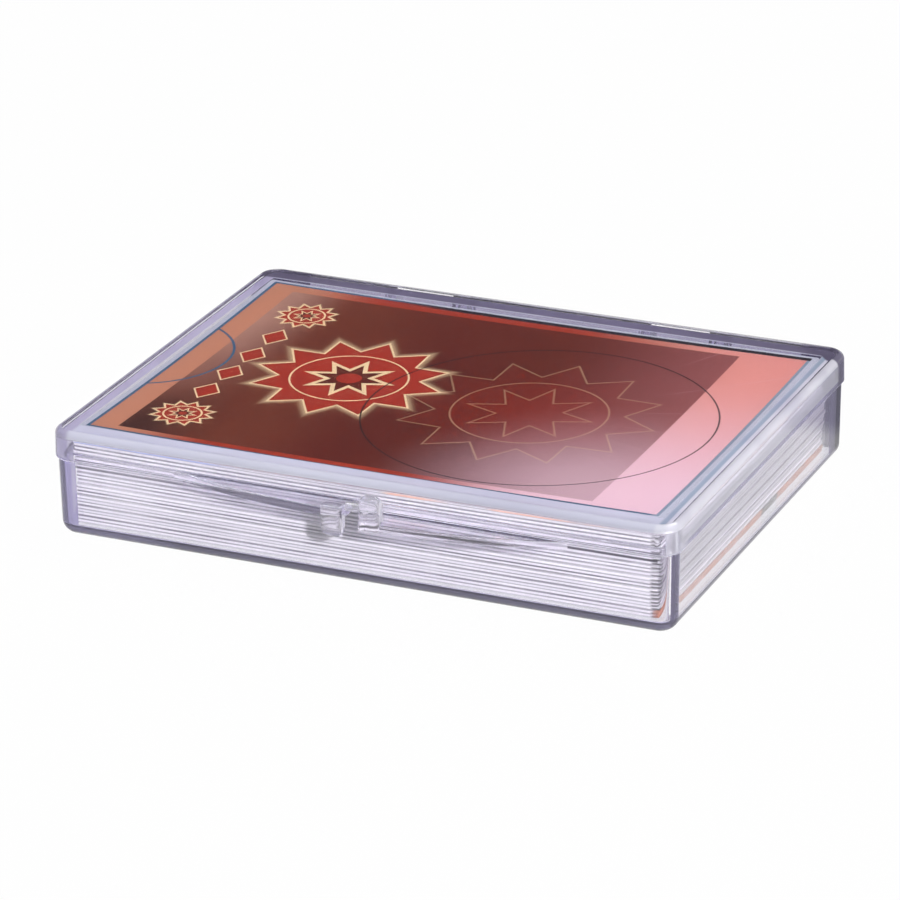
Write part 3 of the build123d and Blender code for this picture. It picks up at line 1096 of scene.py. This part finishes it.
@dataclass
class Mouldings:
    """The clear base tray and lid, whose outer sizes come from the frame."""

    base_radius: float = 2.8
    base_wall: float = 1.5
    floor: float = 1.4
    foot: float = 2.0
    floor_corner: float = 0.45
    base_lean: float = 0.8
    lip_height: float = 1.0
    lip_clearance: float = 0.1
    overhang: float = 0.4
    hinge_clearance: float = 0.2
    lid_wall: float = 1.15
    lid_top: float = 1.25
    lid_edge: float = 1.0
    lid_lean: float = 1.2
    rim_chamfer: float = 0.25
    ceiling_corner: float = 0.35
    arris: float = 0.12
    seam: float = 0.06
    lip_draft: float = 0.02
    crease: float = 38.0
    corner_steps: int = 20
    post_runs: tuple = (4.3, 4.3, 1.0, 1.0)
    side_share: float = 0.55
    milky_share: float = 0.7
    margin_gap: float = 0.25
    foot_steps: int = 14
    edge_steps: int = 12
    catch_height: float = 1.1
    catch_depth: float = 1.0
    base_tab_rise: float = 4.0
    lid_tab_drop: float = 2.9
    lid_tab_crown: float = 0.45

    def __post_init__(self) -> None:
        """Reads the outer sizes, the seam and the hinge axis from the frame."""
        high = node_box("hinged_lid")[1]
        self.card_half = node_box("top_card")[1][:2]
        self.axis = hinge_axis()
        self.parting = self.axis[1]
        self.rim = self.parting + self.seam
        self.top = high[2]
        self.half_x = high[0]
        self.half_y = self.axis[0] - Hinge.radius - self.hinge_clearance
        self.base_x = self.half_x - self.overhang
        self.base_y = self.half_y - self.overhang
        self.latch = Latch()
        self.hinge = Hinge()

    def base_profile(self) -> np.ndarray:
        """The base's wall as (outward, up) from its edge at the seam, from the underside to the floor."""
        slope = tan(radians(self.base_lean))
        foot_out = -(self.parting - self.foot) * slope
        lip_out = self.half_x - self.lid_wall - self.lip_clearance - self.base_x
        lip_top = self.parting + self.lip_height
        inside = -self.base_wall
        inside_low = inside - (self.parting - self.floor) * slope
        a, c = self.arris, self.floor_corner
        return path(
            arc((foot_out - self.foot, self.foot), self.foot, -90, 0, self.foot_steps),
            arc((-a, self.parting - a), a, 0, 90, 5),
            (lip_out, self.parting),
            arc((lip_out - a - self.lip_draft, lip_top - a), a, 0, 90, 5),
            arc((inside + a, lip_top - a), a, 90, 180, 5),
            (inside, self.parting),
            arc((inside_low - c, self.floor + c), c, 0, -90, 8),
        )

    def lid_profile(self) -> np.ndarray:
        """The lid's wall as (outward, up) from its edge at the rim, from the top to the ceiling."""
        slope = tan(radians(self.lid_lean))
        edge_z = self.top - self.lid_edge
        out = -(edge_z - self.rim) * slope
        ceiling = self.top - self.lid_top
        inner = -self.lid_wall - (ceiling - self.rim) * slope
        a, c, ch = self.arris, self.ceiling_corner, self.rim_chamfer
        return path(
            arc((out - self.lid_edge, edge_z), self.lid_edge, 90, 0, self.edge_steps),
            (0.0, self.rim + ch),
            arc((-ch, self.rim + ch), ch, -15, -90, 6),
            arc((-self.lid_wall + a, self.rim + a), a, -90, -180, 5),
            arc((inner - c, ceiling - c), c, 0, 90, 7),
        )

    def posts(self) -> np.ndarray:
        """Which faces round a ring are corner posts that look milky.

        Both back corners and the front left one are, with the runs of wall beside them, and the
        front right one is over the part that is turned to the side.
        """
        corner = np.ones((4, self.corner_steps + 2), bool)
        corner[:, -1] = False
        corner[3] &= np.linspace(0, 1, self.corner_steps + 2) > self.side_share
        corner[3, -2] = False
        return corner.ravel()

    def base(self) -> Piece:
        """The base tray: shell, right half lens with its tab and catch, and the hinge ears."""
        latch, face = self.latch, -self.half_y
        profile = self.base_profile()
        rings = swept_rings(
            profile, self.base_x, self.base_y, self.base_radius, self.corner_steps, self.post_runs
        )
        height = (profile[:-1, 1] + profile[1:, 1]) / 2
        outer = np.arange(len(profile) - 1) <= self.foot_steps
        milky = outer[:, None] & ((height < self.foot)[:, None] | self.posts())
        low = self.parting - latch.thickness
        parts = [
            latch.lip("tray_lip", 1, face, -self.base_y, low),
            latch.tab("tray_tab", 1, face, low, self.parting + self.base_tab_rise, 1),
            latch.catch("tray_catch", face, self.rim + latch.thickness, self.catch_height, self.catch_depth),
        ]
        parts += self.hinge.ears(self.axis, self.base_y)
        return fuse("clear_base", loft("tray_shell", rings, np.where(milky, Skin.EDGE, Skin.SHELL)), parts)

    def lid(self) -> Piece:
        """The lid: shell, left half lens with its hanging tab, and the knuckles with their pins.

        One more ring lies on the ceiling round the top card, and the margin is what lies outside it.
        """
        latch, face = self.latch, -self.half_y
        profile = self.lid_profile()
        corners = (self.corner_steps, self.post_runs)
        radius = self.base_radius + self.overhang
        rings = swept_rings(profile, self.half_x, self.half_y, radius, *corners)
        size = self.card_half + self.margin_gap
        inner = swept_rings(profile[-1:] * [0, 1], *size, self.margin_gap, *corners)
        sides = self.posts()
        sides[-int(self.corner_steps * self.milky_share) :] = True
        skins = np.full((len(profile), len(sides)), Skin.SHELL)
        skins[self.edge_steps - 1, sides] = Skin.EDGE
        skins[: self.edge_steps - 1] = Skin.MARGIN
        skins[-1] = Skin.MARGIN
        high = self.rim + latch.thickness + self.lid_tab_crown
        parts = [
            latch.lip("lid_lip", -1, face, face, self.rim),
            latch.tab("lid_tab", -1, face, self.parting - self.lid_tab_drop, high, -1),
        ]
        parts += self.hinge.knuckles(self.axis, self.half_y, self.rim, self.base_y)
        return fuse("clear_lid", loft("lid_shell", np.concatenate([rings, inner]), skins), parts)

    def build(self) -> None:
        """Makes and dresses both mouldings."""
        styrene = ClearStyrene()
        lips = styrene.make("lips", Skin.LIP, styrene.latch_tint)
        tabs = styrene.make("tabs", Skin.TAB, styrene.latch_tint)
        margin = styrene.make("lid's margin", Skin.MARGIN, styrene.margin_tint)
        curb = styrene.make("tabs' sides", Skin.CURB, styrene.curb_tint)
        dense = styrene.make("lips' thick sides", Skin.DENSE, styrene.dense_tint)
        for piece, shell, edge, body, node in (
            (
                self.base(),
                styrene.make("base", Skin.SHELL, styrene.base_tint),
                styrene.make("foot and posts", Skin.EDGE, styrene.foot_tint),
                Body.BASE,
                "base_tray",
            ),
            (
                self.lid(),
                styrene.make("lid", Skin.SHELL, styrene.lid_tint),
                styrene.make("lid's corners", Skin.EDGE, styrene.rim_tint),
                Body.LID,
                "hinged_lid",
            ),
        ):
            smooth(piece, self.crease)
            dress(piece, [shell, lips, tabs, edge, margin, curb, dense], body, "clear_case", node)


@dataclass
class CardStack:
    """The cards in the case, whose places come from the frame.

    The stack is bowed: its ends and long edges stand up by a parabola, most in the top card.
    """

    arris: float = 0.11
    corner: float = 0.35
    bow_x: float = 0.3
    bow_y: float = 0.45
    air: float = 0.042
    loose_every: int = 5
    loose_air: float = 0.09
    # the leaf under which the painted shade line is darkest
    dark_gap: int = 8
    inked: int = 2
    tone_wave: float = 2.4
    gap_wave: float = 1.7
    rings: tuple = (0.08, 0.97, 8)
    steps: int = 15
    crease: float = 50.0

    def leaf(self, name: str, node: str, rank: float, shave: float, tone: float, gap: float) -> Piece:
        """One card: rings that run from the middle of its underside, round its edge, to its top.

        A ring is the card's rounded outline scaled by a share, or at the edge grown from it by the
        arris's profile. The leaf sinks by its rank times one less the parabola of the place.

        Args:
            name: The new object's name.
            node: The node whose place and size the card has.
            rank: Its height in the stack, from 0 at the bottom to 1 at the top.
            shave: How much thinner than its node it is.
            tone: Its shade, from 0 to 1.
            gap: How dark the painted shade line under it is, from 0 to 1.

        Returns:
            The closed card.
        """
        low, high = node_box(node)
        half = (high - low) / 2
        thick = half[2] * 2 - shave
        a = self.arris
        rim = self.long_rings(path(arc((-a, a), a, -90, 0, 5), arc((-a, thick - a), a, 0, 90, 5)), half)
        flat = np.linspace(*self.rings)[:, None, None] * rim[0, :, :2]
        rings = np.concatenate([raised(flat, 0.0), rim, raised(flat[::-1], thick)])
        rise = rings[..., 2] / thick
        away_x, away_y = ((rings[..., k] / half[k]) ** 2 for k in range(2))
        sink = rank * (self.bow_x * (1 - away_x) + self.bow_y * (1 - away_y))
        rings = rings + [*(high + low)[:2] / 2, low[2] + shave / 2]
        rings[..., 2] -= sink
        made = loft(name, rings)
        for held, values in (("rise", rise), ("tone", tone), ("gap", gap)):
            numbers = np.broadcast_to(values, rise.shape).ravel().astype(np.float32)
            made.data.attributes.new(held, "FLOAT", "POINT").data.foreach_set("value", numbers)
        smooth(made, self.crease)
        return made

    def long_rings(self, profile: np.ndarray, half: np.ndarray) -> np.ndarray:
        """The card's edge rings, with points along the straight sides too, so that the card can bow.

        Each quarter's corner points are followed by points spread evenly to the next corner.
        """
        quarters = np.split(swept_rings(profile, half[0], half[1], self.corner, 4), 4, axis=1)
        share = np.linspace(0, 1, self.steps + 2)[1:-1][None, :, None]
        runs = []
        for k, quarter in enumerate(quarters):
            start, end = quarter[:, -1:], quarters[(k + 1) % 4][:, :1]
            runs += [quarter, start + (end - start) * share]
        return np.concatenate(runs, axis=1)

    def build(self) -> None:
        """Makes and dresses every card."""
        nodes = sorted(node for node in frame["nodes"] if node.startswith("card_"))
        stock = CardStock()
        finishes = {kind: stock.make(kind) for kind in CardKind}
        for k, node in enumerate(nodes):
            kind = CardKind.INKED_END if k < self.inked else CardKind.PLAIN
            kind = CardKind.TINTED_FRONT if k == len(nodes) - 1 else kind
            shave = self.loose_air if k % self.loose_every == 3 else self.air
            tone = 0.5 + 0.5 * sin(k * self.tone_wave)
            gap = 1.0 if k == self.dark_gap else 0.4 + 0.4 * sin(k * self.gap_wave)
            card = self.leaf("leaf_" + node[-2:], node, (k + 1) / (len(nodes) + 1), shave, tone, gap)
            dress(card, [finishes[kind]], Body.BASE, "card_stock", node)
        low, high = node_box("top_card")
        printed = PrintedFace().make("printed face", (high + low) / 2, (high - low)[:2] / 2)
        card = self.leaf("printed_leaf", "top_card", 1.0, self.air, 0.0, 0.5)
        dress(card, [printed], Body.BASE, "printed_card", "top_card")


def towards(azimuth: float, elevation: float) -> Vector:
    """The direction at an azimuth from the front towards the right, and an elevation, in degrees."""
    a, e = radians(azimuth), radians(elevation)
    return Vector((sin(a) * cos(e), -cos(a) * cos(e), sin(e)))


@dataclass
class Studio:
    """The camera, the lamps, the white world and the floor, in metres and degrees.

    A lamp is its name, azimuth, elevation, the side of its square, the level to which it lights a
    white face, and whether it shows in gloss. Those at the sides don't, so that the lid's top
    doesn't mirror them in a low view.
    """

    azimuth: float = 23.947
    elevation: float = 22.678
    roll: float = -0.839
    distance: float = 0.664537
    target: tuple = (0.0003247, -0.0032313, 0.007824)
    lens: float = 184.44
    lamps: tuple = (
        ("key", 36.0, 26.0, 0.07, 0.68, True),
        ("left", -86.0, 28.0, 0.9, 0.24, False),
        ("right", 88.0, 16.0, 0.5, 0.26, False),
        ("rear", 165.0, 52.0, 0.8, 0.30, True),
    )
    lamp_distance: float = 1.6
    even: tuple = (0.09, 0.09, 0.093, 1)
    backdrop: tuple = (0.24, 0.10)
    ceiling: tuple = (0.62, 0.8)
    dim: tuple = (0.46, 0.45, 0.55, 1)
    dark: tuple = (0.025, 0.024, 0.03, 1)
    flag: tuple = (-0.374, 0.843, 0.386)
    flag_size: tuple = (0.3, 0.18)
    floor_half: float = 6.0
    floor_drop: float = 0.0001
    floor_shown: float = 0.975
    floor_lit: tuple = (0.2, 0.2, 0.203, 1)
    floor_white: tuple = (0.95, 0.95, 0.95, 1)
    bounces: int = 96
    clear_bounces: int = 32

    def camera(self) -> None:
        """Sets the camera at the photograph's view, turned by the roll about its line of sight."""
        back, roll = towards(self.azimuth, self.elevation), radians(self.roll)
        level = Vector((0, 0, 1)).cross(back).normalized()
        upright = back.cross(level)
        right = cos(roll) * level + sin(roll) * upright
        up = cos(roll) * upright - sin(roll) * level
        place = Vector(self.target) + back * self.distance
        data = bpy.data.cameras.new("camera")
        data.lens = self.lens
        data.clip_start = 0.01
        data.clip_end = 20.0
        made = add_object("camera", data)
        made.matrix_world = Matrix.Translation(place) @ Matrix((right, up, back)).transposed().to_4x4()
        bpy.context.scene.camera = made

    def light(self) -> None:
        """Hangs the lamps, soft squares that face the case.

        A lamp's power is pi squared times its level times its distance squared, which lights a white
        face square to it to that level.
        """
        for name, azimuth, elevation, size, level, mirrored in self.lamps:
            data = bpy.data.lights.new(name, "AREA")
            data.shape = "SQUARE"
            data.size = size
            data.energy = pi**2 * level * self.lamp_distance**2
            way = towards(azimuth, elevation)
            made = add_object(name, data)
            made.location = way * self.lamp_distance
            made.rotation_mode = "QUATERNION"
            made.rotation_quaternion = way.to_track_quat("Z", "Y")
            made.visible_glossy = mirrored

    def world(self) -> None:
        """A white backdrop near the horizon for what is seen, and an even light for what is lit.

        A dark flag hangs where the lid's top mirrors it to the camera, so that the print shows.
        """
        world = bpy.data.worlds.new("studio")
        bpy.context.scene.world = world
        world.use_nodes = True
        sheet = Sheet(world.node_tree, "Generated", 1.0)
        bright = sheet.z.ramp(*self.backdrop) + sheet.z.ramp(*self.ceiling)
        values = {0: sheet.vector, 1: self.flag}
        away = sheet.signal("ShaderNodeVectorMath", {"operation": "DISTANCE"}, values, "Value")
        shown = sheet.mix(bright, sheet.mix(away.ramp(*self.flag_size), self.dim, self.dark), WHITE)
        colour = sheet.mix(sheet.seen(), self.even, shown)
        glow = sheet.shader("Background", {"Color": colour, "Strength": 1.0})
        sheet.node("ShaderNodeOutputWorld", values={"Surface": glow})

    def floor(self) -> None:
        """A matt white floor that shows as white away from the case and keeps its shadow.

        A dark flag lies behind the right corner, where only the case's gloss mirrors it.
        """
        corners = raised(np.array([[[-1, -1], [1, -1], [1, 1], [-1, 1]]]) * self.floor_half, -self.floor_drop)
        mesh = bpy.data.meshes.new("floor")
        mesh.from_pydata(corners[0].tolist(), [], [[0, 1, 2, 3]])
        made = add_object("floor", mesh)
        finish, sheet = material("white floor")
        seen = sheet.seen()
        mirrored = sheet.x.ramp(20.0, 40.0) * sheet.y.ramp(38.0, 46.0) * sheet.ray("Is Glossy Ray")
        matt = sheet.shader("BsdfDiffuse", {"Color": sheet.mix(seen, self.floor_lit, self.floor_white)})
        glow = sheet.shader("Emission", {"Color": sheet.mix(mirrored, WHITE, self.dim), "Strength": 1.0})
        sheet.finish(sheet.shader("MixShader", {0: seen * self.floor_shown, 1: matt, 2: glow}))
        mesh.materials.append(finish)

    def build(self) -> None:
        """Sets the whole studio."""
        self.camera()
        self.light()
        self.world()
        self.floor()
        bpy.context.scene.view_settings.view_transform = "Standard"
        cycles = bpy.context.scene.cycles
        cycles.max_bounces = self.bounces
        cycles.glossy_bounces = self.bounces
        cycles.transmission_bounces = self.bounces
        cycles.transparent_max_bounces = self.clear_bounces


def main() -> None:
    """Builds the studio, the mouldings and the cards."""
    logging.basicConfig(level=logging.INFO)
    Studio().build()
    Mouldings().build()
    CardStack().build()


if __name__ == "__main__":
    main()
